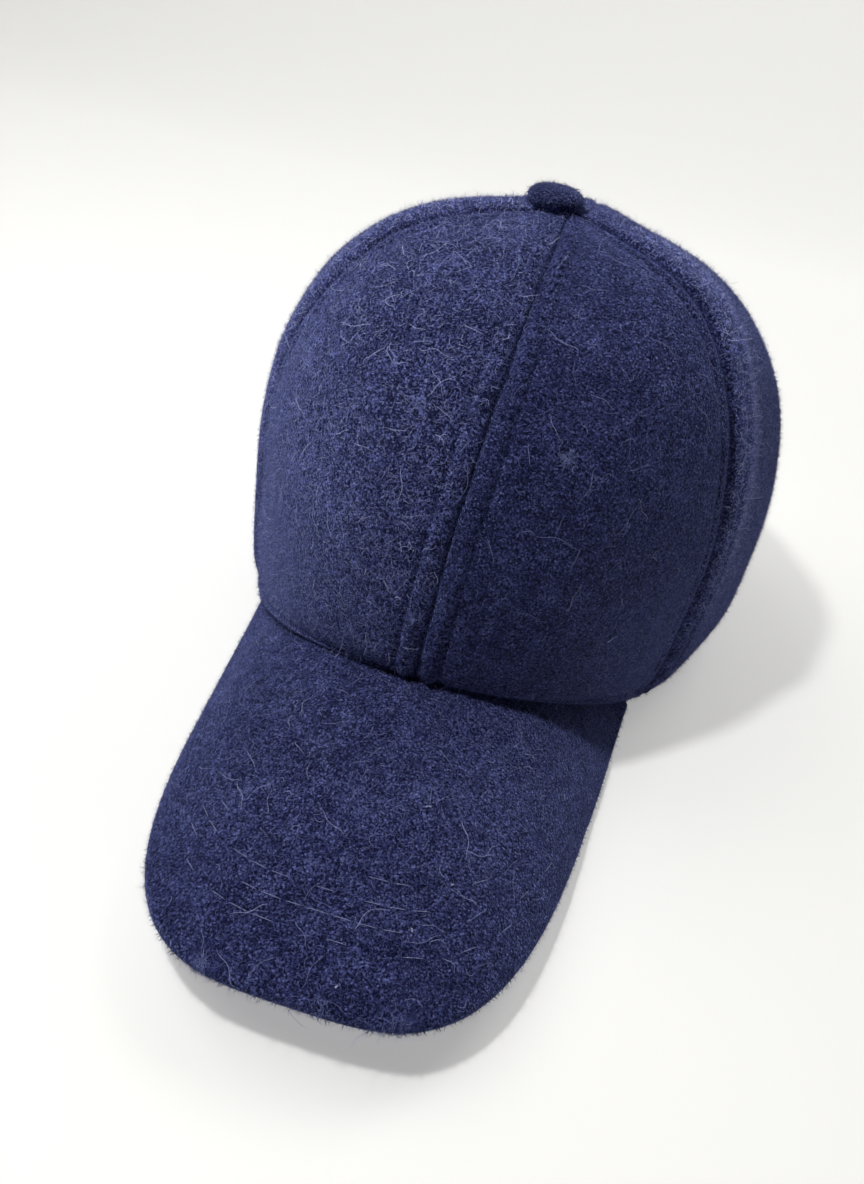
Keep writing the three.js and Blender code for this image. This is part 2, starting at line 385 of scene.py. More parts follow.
def crown_point(angle, climb):
    """Points of the crown's outer surface, in millimetres about its middle."""
    radius, height = crown_polar(angle, climb)
    lean = (height / CROWN_HEIGHT) ** 2
    x = radius * np.sin(angle) + CROWN_LEAN[0] * lean
    y = -radius * np.cos(angle) + CROWN_LEAN[1] * lean
    return np.stack([x, y, height], -1)


def unit(vectors):
    """Vectors of length one."""
    return vectors / np.maximum(np.linalg.norm(vectors, axis=-1, keepdims=True), 1e-9)


def crown_normal(angle, climb, turn_step=0.01, climb_step=0.004):
    """The crown's outward normal, from small steps round it and up it."""
    round_it = crown_point(angle + turn_step, climb) - crown_point(angle - turn_step, climb)
    below = np.maximum(climb - climb_step, 0)
    up_it = crown_point(angle, climb + climb_step) - crown_point(angle, below)
    return unit(np.cross(round_it, up_it))


print("crown middle at", [round(float(x), 4) for x in OFFSET])

# %% [markdown]
# ## The six gores
# Each gore is a grid of points between two seams. Its columns crowd towards the seams, because that is where
# the cloth has its finest shape: a deep furrow where two gores meet, a padded welt beside it over the folded
# seam allowance, and a row of topstitching that pulls the cloth down in little dimples. At the rim the cloth
# rolls under into a hem. The same grid pushed inwards makes the back of the cloth, so a gore is a closed
# wall.

# %% Gore relief
FRONT_PANEL_WIDENING = math.radians(3.5)
WALL = 2.1
SEAM_PRESS = 0.05
VALLEY_WIDTH = 2.9
WELT_PLACE = 4.0
WELT_WIDTH = 1.6
STITCH_OFFSET = 6.6
STITCH_PITCH = 3.0
HEM_STITCH = 3.4
HEM_ROLL = 1.7
HEM_FADE = 7
HEM_STILL = 6
SEAM_COLUMNS = np.array([0, 0.3, 0.7, 1.2, 1.9, 2.8, 3.8, 4.8, 5.6, 6.1, 6.6, 7.1, 7.7, 8.6, 9.8])
MIDDLE_COLUMNS = 12
HEM_ROWS = np.array([0, 0.25, 0.6, 1.0, 1.5, 2.1, 2.7, 3.1, 3.5, 4.1, 5.0])
HEM_STITCH_ROW = 8
SEAM_STITCH_COLUMN = 10
SEAM_STYLES = {
    "furrow": np.array([1.7, 2.0, 1.5, 1.5, 1.5, 1.9]),
    "width": np.array([0.8, 1.35, 1.0, 1.0, 1.0, 0.9]),
    "welt": np.array([0.5, 0.3, 0.3, 0.3, 0.3, 0.2]),
    "stitch": np.array([0.95, 0.35, 0.35, 0.35, 0.35, 0.35]),
    "pucker": np.array([1, 0, 0, 0, 0, 0]),
    "valley": np.array([0.35, 0.75, 0.35, 0.35, 0.35, 0.45]),
    # The dark row sets how much painted shade lies in each seam's groove.
    "dark": np.array([0.5, 0.6, 0.35, 0.35, 0.35, 0.6]),
}
FRONT_GORES = (0, 5)
FRONT_ROW_STEP = 0.8
ROW_STEP = 1.7
FINE_STEPS = 1500
# By gore and seam.
SIDE_ROLLS = {
    (1, 1): {"height": 1.6, "place": 8.5, "width": 4.2},
    (4, 5): {"height": 1.5, "place": 5.5, "width": 3.2},
}


def bell(distance, width):
    """A smooth hump, 1 at distance 0 and almost nothing past twice the width."""
    return np.exp(-((distance / width) ** 2))


def soft_swell(points, seed, reach, size):
    """A slow, smooth waviness of the cloth: a few sine waves in fixed, random directions."""
    rng = np.random.default_rng(seed)
    total = np.zeros(points.shape[:-1])
    for _ in range(7):
        direction = rng.normal(size=3)
        direction *= 2 * math.pi / (reach * rng.uniform(0.7, 1.5) * np.linalg.norm(direction))
        total += np.sin(points @ direction + rng.uniform(0, 2 * math.pi))
    return total * size / 3


def seam_relief(to_seam, along, room, style):
    """How deep the cloth sinks beside a seam, in millimetres. Room fades it where a gore narrows."""
    uneven = 1 + 0.22 * np.sin(along / 5.3) + 0.16 * np.sin(along / 2.1 + 1.3)
    furrow = bell(to_seam, style["width"] * uneven) + style["valley"] * bell(to_seam, VALLEY_WIDTH)
    furrow = style["furrow"] * furrow
    wave = np.cos(2 * math.pi * along / STITCH_PITCH + 1.2 * np.sin(along / 7))
    welt = -style["welt"] * bell(to_seam - WELT_PLACE, WELT_WIDTH) * uneven
    welt = welt * (1 + 1.1 * style["pucker"] * wave)
    dimple = 1 - 0.38 * style["pucker"] * (1 - np.cos(2 * math.pi * along / STITCH_PITCH))
    stitched = bell(to_seam - STITCH_OFFSET, 0.6) * dimple + 0.45 * bell(to_seam - STITCH_OFFSET, 1.7)
    above_hem = np.clip(along / HEM_FADE, 0.12, 1)
    return furrow * (0.45 + 0.55 * room) * above_hem + (welt + style["stitch"] * stitched) * room


def hem_relief(above_rim, round_rim):
    """How deep the cloth sinks at its rolled hem, in millimetres."""
    inside = np.clip(HEM_ROLL - above_rim, 0, HEM_ROLL)
    roll = HEM_ROLL - np.sqrt(np.maximum(HEM_ROLL**2 - inside**2, 0))
    welt = -0.7 * bell(above_rim - 1.7, 1.1)
    dimple = 0.7 + 0.3 * np.cos(2 * math.pi * round_rim / STITCH_PITCH)
    return roll + welt + 0.75 * bell(above_rim - HEM_STITCH, 0.55) * dimple


print("relief: stitch rows", STITCH_OFFSET, "mm from each seam")


# %% Gore grid
def seam_angle(count):
    """The angle of a seam, counted on from the front: the front gores are a little wider."""
    even = 2 * math.pi / len(SEAM_ANGLES) * count
    return even + FRONT_PANEL_WIDENING * math.sin(2 * even)


def gore_rows(middle, row_step):
    """Climbs of a gore's rows, evenly spaced over the cloth and closer at the hem, and their distances."""
    belly = around("rim", middle) + around("bulge", middle)
    turn = math.acos((TOP_HOLE_RADIUS / belly) ** (around("squareness", middle) / 2))
    end = SIDE_WALL_SHARE + (1 - SIDE_WALL_SHARE) * turn / (math.pi / 2)
    climbs = np.linspace(0, end, FINE_STEPS)
    steps = np.linalg.norm(np.diff(crown_point(np.full(FINE_STEPS, middle), climbs), axis=0), axis=1)
    travelled = np.append(0, np.cumsum(steps))
    rest = np.linspace(HEM_ROWS[-1], travelled[-1], int((travelled[-1] - HEM_ROWS[-1]) / row_step))
    distances = np.append(HEM_ROWS, rest[1:])
    return np.interp(distances, travelled, climbs), distances


def gore_grid(first_seam):
    """Angles, climbs, distances from seam and rim, room and nearest seam of one gore, as rows by columns."""
    start = seam_angle(first_seam)
    span = seam_angle(first_seam + 1) - start
    row_step = FRONT_ROW_STEP if first_seam in FRONT_GORES else ROW_STEP
    climbs, distances = gore_rows(start + span / 2, row_step)
    radius = crown_polar(np.full(len(climbs), start + span / 2), climbs)[0]
    width = span * radius + 2 * SEAM_PRESS
    squeeze = np.minimum(1, width * 0.42 / SEAM_COLUMNS[-1])
    left = SEAM_COLUMNS * squeeze[:, None]
    share = np.linspace(0, 1, MIDDLE_COLUMNS + 2)[1:-1]
    middle = left[:, -1:] + (width[:, None] - 2 * left[:, -1:]) * share
    across = np.concatenate([left, middle, width[:, None] - left[:, ::-1]], axis=1)
    angle = start + span * (across - SEAM_PRESS) / (width[:, None] - 2 * SEAM_PRESS)
    climb = np.repeat(climbs[:, None], across.shape[1], axis=1)
    to_seam = np.minimum(across, width[:, None] - across)
    room = np.repeat(squeeze[:, None], across.shape[1], axis=1)
    above_rim = np.repeat(distances[:, None], across.shape[1], axis=1)
    nearest = np.where(across < width[:, None] / 2, first_seam, (first_seam + 1) % len(SEAM_ANGLES))
    return angle, climb, to_seam / np.maximum(room, 0.2), above_rim, room, nearest


def gore_surfaces(first_seam):
    """Outer and inner points of one gore, in millimetres, and their distances from the seam and the rim."""
    angle, climb, to_seam, above_rim, room, nearest = gore_grid(first_seam)
    style = {name: sizes[nearest] for name, sizes in SEAM_STYLES.items()}
    base = crown_point(angle, climb)
    normal = crown_normal(angle, climb)
    normal[0, :, 2] = 0
    normal = unit(normal)
    round_rim = angle * around("rim", angle)
    sunk = seam_relief(to_seam, above_rim, room, style) + hem_relief(above_rim, round_rim)
    sunk = sunk + soft_swell(base, seed=11, reach=42, size=0.45) * (1 - bell(above_rim, HEM_STILL))
    for (gore, seam), size in SIDE_ROLLS.items():
        if gore == first_seam:
            roll = size["height"] * bell(to_seam - size["place"], size["width"]) * room**2
            sunk = sunk - np.where(nearest == seam, roll, 0) * (1 - bell(above_rim, HEM_STILL))
    inner_sunk = WALL + 1.4 * bell(to_seam, 5) * room + 0.9 * bell(to_seam, 3)
    outer = base - normal * sunk[..., None]
    inner = base - normal * np.maximum(inner_sunk, sunk + 0.8)[..., None]
    outer[..., 2] = np.maximum(outer[..., 2], 0)
    inner[..., 2] = np.maximum(inner[..., 2], 0)
    return outer, inner, to_seam, above_rim


print("gore rows and columns:", gore_grid(0)[0].shape)

# %% [markdown]
# Turning two grids into one closed mesh is the same job for a gore and for the peak, so it gets one helper.
# It also stores values on every point: `nap`, how thickly hair grows there, `worn`, how bald it is, and a
# tone, which darkens the whole peak and also holds painted light and shade. The back of a gore grows no hair,
# but both faces of the peak do.


# %% Closed wall from two grids
def wall_piece(name, outer, inner, values, material, hairy_back=False):
    """A closed wall between two grids of points in metres, with values stored on its points."""
    rows, columns = outer.shape[:2]
    count = rows * columns
    index = np.arange(count).reshape(rows, columns)
    a, b, c, d = index[:-1, :-1], index[:-1, 1:], index[1:, 1:], index[1:, :-1]
    skin = np.stack([a, b, c, d], -1).reshape(-1, 4)
    back = skin[:, ::-1] + count
    around_edge = np.concatenate([index[0], index[1:, -1], index[-1, -2::-1], index[-2:0:-1, 0]])
    following = np.roll(around_edge, -1)
    rim = np.stack([following, around_edge, around_edge + count, following + count], -1)
    points = np.concatenate([outer.reshape(-1, 3), inner.reshape(-1, 3)])
    faces = np.concatenate([skin, back, rim])
    mesh = smooth_mesh(name, points.tolist(), faces.tolist(), material)
    for label, grid in values.items():
        bare = label == "nap" and not hairy_back
        behind = np.zeros(count) if bare else grid.ravel()
        store(mesh, label, np.concatenate([grid.ravel(), behind]))
    mesh.validate()
    return show(mesh)


def soft_spots(points, spots):
    """1 in the middle of each spot, fading out round it. A spot is a place and a reach, in millimetres."""
    total = np.zeros(points.shape[:-1])
    for place, reach in spots:
        total = np.maximum(total, bell(np.linalg.norm(points - np.array(place), axis=-1), reach))
    return total


GORES = ["front_left", "side_left", "back_left", "back_right", "side_right", "front_right"]
CROWN_WORN = [((-16, -70, 112), 9), ((-22, -77, 103), 6)]
# Painted shade: the front-left and side-left gores, turned away from the key lamp, are painted darker.
GORE_PAINTED_SHADE = {"front_left": 0.77, "side_left": 0.9}
# Painted highlight beside two seams, paler higher up the crown and painted shade low down.
# Columns: seam, distance from it, how much paler.
PAINTED_LIGHT_BANDS = {"side_left": (1, 9, 0.5), "side_right": (5, 6, 0.3)}
PAINTED_LIGHT_BAND_WIDTH = 10
PAINTED_LIGHT_FROM_HEIGHT = 35
PAINTED_LIGHT_RISE = 45


def gore_painted_light(number, points, to_seam, above_rim):
    """Painted light and shade: even on most gores, darker on two, paler beside two seams, dark in seams and
    hem.
    """
    gore = GORES[number]
    room, nearest = gore_grid(number)[4:]
    tone = np.full(to_seam.shape, GORE_PAINTED_SHADE.get(gore, 1.0))
    if gore in PAINTED_LIGHT_BANDS:
        seam, place, size = PAINTED_LIGHT_BANDS[gore]
        # Painted highlight above this height and painted shade below it, near the seam only.
        climb = np.clip((points[..., 2] - PAINTED_LIGHT_FROM_HEIGHT) / PAINTED_LIGHT_RISE, -0.6, 1) * room**2
        tone = tone + np.where(nearest == seam, size * bell(to_seam - place, PAINTED_LIGHT_BAND_WIDTH) * climb, 0)
    # Painted shade in the seam grooves, along the hem's edge and in its stitch line.
    painted_groove_shade = SEAM_STYLES["dark"][nearest] * bell(to_seam, 1.3 * SEAM_STYLES["width"][nearest])
    hem = 0.55 * bell(above_rim, 1.0) + 0.3 * bell(above_rim - HEM_STITCH, 0.7)
    return tone * (1 - painted_groove_shade) * (1 - hem)


gores = {}
for number, gore in enumerate(GORES):
    outer, inner, to_seam, above_rim = gore_surfaces(number)
    worn = soft_spots(outer, CROWN_WORN)
    nap = (1 - 0.75 * bell(to_seam, 0.8)) * (1 - 0.55 * bell(to_seam - STITCH_OFFSET, 0.7))
    tone = gore_painted_light(number, outer, to_seam, above_rim)
    values = {"nap": nap * (1 - 0.6 * worn), "worn": worn, "tone": tone}
    gores[gore] = wall_piece(f"gore_{gore}", in_frame(outer), in_frame(inner), values, crown_cloth)
print("gores:", {name: len(piece.data.polygons) for name, piece in gores.items()})

# %% [markdown]
# ## The peak
# The peak is a stiff board between two layers of cloth, arched over the brow and tucked under the rim. Its
# upper face is a function of two numbers: how far to the side and how far out. The board's stitch rows show
# as shallow furrows that follow the front edge. The edge is rounded over, as cloth wrapped round a board is,
# and at the root a narrow lip turns up behind the hem, where it would be sewn in.

# %% Peak surface
PEAK_REACH = 93.5
PEAK_HALF_WIDTH = 61.6
PEAK_SQUARENESS = 3.3
PEAK_ROOT_TAPER = 2
PEAK_THICKNESS = 4.2
PEAK_TUCK = 1.5
PEAK_ROOT_GAP = 0.5
PEAK_FRONT_RISE = 14.9
PEAK_FRONT_ARCH = 1.6
PEAK_RESTING_SHARE = 0.14
PEAK_BOW = 3
PEAK_FRONT_SHIFT = -2.3
PEAK_LAST_SIDE = 0.999
PEAK_COLUMNS = 150
PEAK_ROWS = 104
PEAK_EDGE_ROWS = 7
EDGE_STEP = 0.0005
TUCKED_IN = (0.9, 1.5)
TUCKED_UP = 1.7
TUCKED_WALL = 0.8
PEAK_STITCH_ROWS = np.array([14, 19.5, 25, 31])


def peak_point(side, out):
    """Points of the peak's upper face, in millimetres: side from -1 to 1, out from root 0 to edge 1."""
    angle = side * PEAK_END
    root = around("rim", angle) - PEAK_TUCK
    end = around("rim", np.sign(side) * PEAK_END) - PEAK_TUCK
    sweep = np.abs(side) * math.pi / 2
    wide = np.sin(sweep) ** (2 / PEAK_SQUARENESS)
    long = np.clip(np.cos(sweep), 0, 1) ** (2 / PEAK_SQUARENESS)
    join = (1 - long) ** PEAK_ROOT_TAPER
    end_x = end * math.sin(PEAK_END)
    end_y = -end * math.cos(PEAK_END)
    front_y = -(CROWN["rim"][0] + PEAK_REACH)
    edge_x = np.sign(side) * (PEAK_HALF_WIDTH * wide + (end_x - PEAK_HALF_WIDTH) * join)
    edge_y = end_y + (front_y - end_y) * long
    shift = PEAK_FRONT_SHIFT * out * (1 - side**4)
    x = root * np.sin(angle) * (1 - out) + edge_x * out + shift
    y = -root * np.cos(angle) * (1 - out) + edge_y * out
    rise = np.maximum(0, 1 - (np.abs(side) / (1 - PEAK_RESTING_SHARE)) ** PEAK_FRONT_ARCH)
    edge_height = PEAK_END_HEIGHT - PEAK_ROOT_GAP + PEAK_FRONT_RISE * rise
    root_height = rim_height(angle) - PEAK_ROOT_GAP
    bow = PEAK_BOW * 4 * out * (1 - out) * (1 - side**2)
    return np.stack([x, y, root_height * (1 - out) + edge_height * out + bow], -1)


def peak_normal(side, out, side_step=0.002, out_step=0.05):
    """The upward normal of the peak's upper face."""
    inside = np.minimum(out, 1 - out_step)
    along_side = peak_point(side + side_step, out) - peak_point(side - side_step, out)
    along_out = peak_point(side, inside + out_step) - peak_point(side, inside)
    normal = unit(np.cross(along_out, along_side))
    return np.where(normal[..., 2:] < 0, -normal, normal)


print("peak edge at the front:", peak_point(np.array([0.001]), np.array([1.0])).round(1).tolist())


# %% Peak piece
def even_sides(count):
    """Sides whose columns are evenly spread, on average, along the peak's root and along its edge."""
    side = np.linspace(-PEAK_LAST_SIDE, PEAK_LAST_SIDE, 6000)
    share = np.zeros(len(side))
    for out in (0.0, 1.0):
        steps = np.linalg.norm(np.diff(peak_point(side, np.full(len(side), out)), axis=0), axis=1)
        share += np.append(0, np.cumsum(steps)) / steps.sum() / 2
    return np.interp(np.linspace(0, 1, count), share, side)


def peak_surfaces():
    """Upper and lower points of the peak in millimetres, and how far each lies from the front edge.

    The columns run from the wearer's left to right, so that the upper faces look up.
    """
    side, out = np.meshgrid(even_sides(PEAK_COLUMNS), np.linspace(0, 1, PEAK_ROWS))
    base = peak_point(side, out)
    normal = peak_normal(side, out)
    length = np.linalg.norm(base[-1] - base[0], axis=-1)
    from_edge = (1 - out) * length
    sunk = 0.3 * sum(bell(from_edge - row, 0.8) for row in PEAK_STITCH_ROWS)
    sunk = sunk * np.clip(length / 60 - 0.4, 0, 1)
    sunk = sunk + soft_swell(base, seed=23, reach=38, size=0.3) * np.clip(from_edge / 8, 0, 1)
    upper = base - normal * sunk[..., None]
    lower = base - normal * (PEAK_THICKNESS - 0.3 * sunk)[..., None]
    along = peak_point(side[-1] + EDGE_STEP, out[-1]) - peak_point(side[-1] - EDGE_STEP, out[-1])
    outward = unit(np.cross(along, normal[-1]))
    half = PEAK_THICKNESS / 2
    middle = base[-1] - normal[-1] * half
    upper_edge, lower_edge = [], []
    for turn in np.linspace(0, math.pi / 2, PEAK_EDGE_ROWS + 2)[1:-1]:
        ring = middle + outward * half * math.sin(turn)
        upper_edge.append(ring + normal[-1] * half * math.cos(turn))
        lower_edge.append(ring - normal[-1] * half * math.cos(turn))
    upper = np.concatenate([upper, np.array(upper_edge)])
    lower = np.concatenate([lower, np.array(lower_edge)])
    rounded = np.zeros((PEAK_EDGE_ROWS, PEAK_COLUMNS))
    from_edge = np.concatenate([from_edge[:1], from_edge[:1], from_edge, rounded])
    inward = -unit(base[0] * [1, 1, 0])
    up = np.array([0, 0, 1])
    lip = base[0] + inward * TUCKED_IN[1] + up * TUCKED_UP
    upper = np.concatenate([[lip, base[0] + inward * TUCKED_IN[0]], upper])
    lower = np.concatenate([[lip + inward * TUCKED_WALL, lower[0] + inward * TUCKED_IN[1]], lower])
    return upper[:, ::-1], lower[:, ::-1], from_edge[:, ::-1]


PEAK_WORN = [((-16, -113, 33), 6), ((-18, -124, 32), 7), ((-34, -104, 29), 5)]
PEAK_TONE = 0.88
FLOOR_CLEARANCE = 0.1
ROOT_ROWS = 6
PEAK_TUFTS = [((-24, -184, 19), 3.5), ((24, -184, 16), 5)]
upper, lower, from_edge = peak_surfaces()
lower[..., 2] = np.maximum(lower[..., 2], FLOOR_CLEARANCE)
worn = soft_spots(upper, PEAK_WORN)
nap = (1 - 0.7 * worn) * np.where(np.arange(len(upper))[:, None] < ROOT_ROWS, 0.2, 1.0)
nap = nap + 2.5 * soft_spots(upper, PEAK_TUFTS)
from_root = np.linalg.norm(upper - upper[2:3], axis=-1)
# Painted shade: darker at the root, where the peak tucks under the crown, and a little darker towards the
# front edge.
tone = PEAK_TONE * (1 - 0.6 * bell(from_root, 2.5)) * (1 - 0.12 * bell(from_edge, 22))
values = {"nap": nap, "worn": worn, "tone": tone}
peak = wall_piece("peak_cover", in_frame(upper), in_frame(lower), values, peak_cloth, hairy_back=True)
print("peak faces:", len(peak.data.polygons))

# %% [markdown]
# ## The button
# The button is covered with a disc of the same cloth, gathered underneath. A turned profile gives the padded
# dome. A few shallow gathers round its waist, made by waving the radius, show that cloth is pulled in.

# %% Button
BUTTON_RADIUS = 8.45
BUTTON_HEIGHT = 5.5
BUTTON_WAIST = 2.5
BUTTON_FOOT = np.array([[0.3, 0.7], [3.3, 0.62], [6.0, 0.3], [7.0, 0], [7.65, 0.45], [8.0, 1.2]])
BUTTON_SIDES = 72
BUTTON_TONE = 0.45
BUTTON_GATHERS = 14


def button_piece():
    """The covered button: a turned profile whose lower edge is waved by the gathers."""
    dome = np.linspace(0, math.pi / 2, 20)[:-1]
    radius = np.append(BUTTON_FOOT[:, 0], BUTTON_RADIUS * np.cos(dome) ** 0.7)
    height = np.append(BUTTON_FOOT[:, 1], BUTTON_WAIST + (BUTTON_HEIGHT - BUTTON_WAIST) * np.sin(dome))
    turn = np.linspace(0, 2 * math.pi, BUTTON_SIDES, endpoint=False)
    gather = 1 + 0.018 * np.cos(BUTTON_GATHERS * turn) * bell(height[:, None] - 0.8, 1.1)
    ring = radius[:, None] * gather
    heights = np.repeat(height[:, None], BUTTON_SIDES, 1)
    points = np.stack([ring * np.cos(turn), ring * np.sin(turn), heights], -1)
    points = points * MM + np.append(BUTTON_MIDDLE[:2], BUTTON_LOW[2])
    rows = len(radius)
    index = np.arange(rows * BUTTON_SIDES).reshape(rows, BUTTON_SIDES)
    after = np.roll(index, -1, axis=1)
    faces = np.stack([index[:-1], after[:-1], after[1:], index[1:]], -1).reshape(-1, 4).tolist()
    foot = rows * BUTTON_SIDES
    faces += [[int(b), int(a), foot] for a, b in zip(index[0], after[0])]
    faces += [[int(a), int(b), foot + 1] for a, b in zip(index[-1], after[-1])]
    ends = [points[0].mean(0), points[-1].mean(0) + [0, 0, 0.02 * MM]]
    points = points.reshape(-1, 3).tolist() + [list(end) for end in ends]
    mesh = smooth_mesh("button_cover", points, faces, button_cloth)
    above_foot = [point[2] > BUTTON_LOW[2] + MM for point in points]
    store(mesh, "nap", np.where(above_foot, 1.0, 0.15))
    store(mesh, "worn", np.zeros(len(points)))
    store(mesh, "tone", np.full(len(points), BUTTON_TONE))
    return show(mesh)


button = button_piece()
print("button faces:", len(button.data.polygons))

# %% [markdown]
# ## The nap
# Cashmere is brushed until its hairs stand up and lie over each other, a few of them on every square
# millimetre. Hair particles would vanish in an exported mesh, so Geometry Nodes scatters small curved hair
# ribbons instead: points spread over the cloth by its `nap` value, one of a few hair shapes on each, turned
# any way round, and every hair given a `shade` of its own, scaled by the painted light and shade of the cloth
# under it. Realize Instances makes them a plain mesh, and hairs at the rim that would reach through the floor
# are laid on it.

# %% Hair material
HAIR_DARK = (0.006, 0.008, 0.042, 1)
HAIR_MID = (0.070, 0.083, 0.285, 1)
HAIR_PALE = (0.520, 0.580, 0.940, 1)


def hair_material():
    """Hairs from dark navy to pale blue, by the shade that each hair carries."""
    material, shader, start = new_material("cashmere_hair", 0.75, 0.35, SHEEN_BLUE, 0.4)
    shade = start.node("ShaderNodeAttribute", {"attribute_name": "shade"}, output="Fac")
    stops = [(0.62, HAIR_MID), (0.0, HAIR_DARK), (1.0, HAIR_PALE)]
    colour = start.node("ShaderNodeValToRGB", {"stops": stops}, {"Fac": shade})
    feed(colour, shader, "Base Color")
    return material


hair = hair_material()
print("hair material:", hair.name)


# %% Hair shapes
def hair_line(length, rise, turn, wave, steps):
    """Points of a hair that starts on the cloth, lifts off it, turns aside and waves. Millimetres."""
    share = np.linspace(0, 1, steps + 1)
    heading = turn * share + wave * np.sin(2 * math.pi * share)
    middle_heading = (heading[1:] + heading[:-1]) / 2
    stride = length / steps
    x = np.append(0, np.cumsum(np.cos(middle_heading))) * stride
    y = np.append(0, np.cumsum(np.sin(middle_heading))) * stride
    return np.stack([x, y, rise * length * np.sin(share * 2.4)], -1), heading


def hair_ribbon(length, width, rise, turn, wave, steps):
    """A tapered ribbon along a hair line, as points and faces. It ends in a point."""
    line, heading = hair_line(length, rise, turn, wave, steps)
    aside = np.stack([-np.sin(heading), np.cos(heading), np.zeros(steps + 1)], -1)
    half = width / 2 * (1 - 0.45 * np.linspace(0, 1, steps + 1))[:, None]
    pairs = np.stack([line - aside * half, line + aside * half], 1)[:-1].reshape(-1, 3)
    points = np.concatenate([pairs, line[-1:]])
    faces = [[2 * k, 2 * k + 2, 2 * k + 3, 2 * k + 1] for k in range(steps - 1)]
    faces.append([2 * steps - 2, 2 * steps, 2 * steps - 1])
    return points, faces


def hair_collection(name, rows):
    """Hair shapes in a collection of their own, outside the scene. A row has the sizes of hair_ribbon."""
    collection = bpy.data.collections.new(name)
    for number, row in enumerate(rows):
        points, faces = hair_ribbon(*row)
        mesh = smooth_mesh(f"{name}_{number}", (points * MM).tolist(), faces)
        collection.objects.link(bpy.data.objects.new(mesh.name, mesh))
    return collection


# Columns: length, width, rise, turn, wave, steps.
SHORT_HAIRS = hair_collection(
    "short_hair",
    [
        (1.1, 0.14, 0.35, 0.0, 0.0, 1),
        (0.9, 0.15, 0.65, 0.0, 0.0, 1),
        (1.4, 0.13, 0.25, 0.0, 0.0, 1),
        (1.0, 0.12, 0.95, 0.0, 0.0, 1),
        (1.4, 0.06, 1.40, 0.0, 0.0, 1),
        (2.6, 0.12, 0.20, 1.2, 0.0, 2),
    ],
)
STRAY_HAIRS = hair_collection(
    "stray_hair",
    [
        (6.0, 0.12, 0.12, 1.1, 0.3, 7),
        (3.5, 0.12, 0.25, -1.9, 0.2, 7),
        (9.0, 0.11, 0.07, 0.5, 0.5, 9),
        (4.0, 0.09, 0.45, -0.7, 0.4, 6),
    ],
)
FUZZ_HAIRS = hair_collection(
    "fuzz_hair",
    [
        (0.8, 0.080, 2.6, 0.0, 0.0, 1),
        (1.3, 0.075, 1.9, 0.0, 0.0, 1),
        (1.6, 0.070, 2.0, 0.0, 0.0, 1),
    ],
)


# %% Tree helpers
def new_tree(name, inputs, output):
    """An empty Geometry Nodes tree. Returns a wire for each of its named inputs."""
    tree = bpy.data.node_groups.new(name, "GeometryNodeTree")
    for label, kind in inputs.items():
        tree.interface.new_socket(label, in_out="INPUT", socket_type=f"NodeSocket{kind}")
    tree.interface.new_socket(output, in_out="OUTPUT", socket_type="NodeSocketGeometry")
    given = tree.nodes.new("NodeGroupInput").outputs
    return {label: Wire(tree, given[label]) for label in inputs}


def random_value(start, kind, low, high, seed):
    """A random value for every point, between two values or wires."""
    first, output = {"FLOAT": (2, 1), "INT": (4, 2)}[kind]
    inputs = {first: low, first + 1: high, "Seed": seed}
    return start.node("FunctionNodeRandomValue", {"data_type": kind}, inputs, output)


def end_tree(instances, material, floor=None):
    """Ends a tree: real geometry, laid on the floor where one is given, with its material."""
    real = instances.node("GeometryNodeRealizeInstances", None, {"Geometry": instances})
    if floor:
        place = real.node("GeometryNodeInputPosition")
        x = real.node("ShaderNodeSeparateXYZ", None, {"Vector": place}, "X")
        above = x.math("MAXIMUM", x.beside("Z"), floor)
        laid = real.node("ShaderNodeCombineXYZ", None, {"X": x, "Y": x.beside("Y"), "Z": above})
        real = real.node("GeometryNodeSetPosition", None, {"Geometry": real, "Position": laid})
    dyed = real.node("GeometryNodeSetMaterial", None, {"Geometry": real, "Material": material})
    real.tree.links.new(dyed.socket, real.tree.nodes.new("NodeGroupOutput").inputs[0])
    return real.tree


print("tree helpers ready")

# %% Nap tree
NAP_INPUTS = {
    "Cloth": "Geometry",
    "Hairs per square metre": "Float",
    "Smallest size": "Float",
    "Largest size": "Float",
    "Palest": "Float",
    "Darkest": "Float",
    "Floor": "Float",
    "Seed": "Int",
    "Hair": "Material",
}


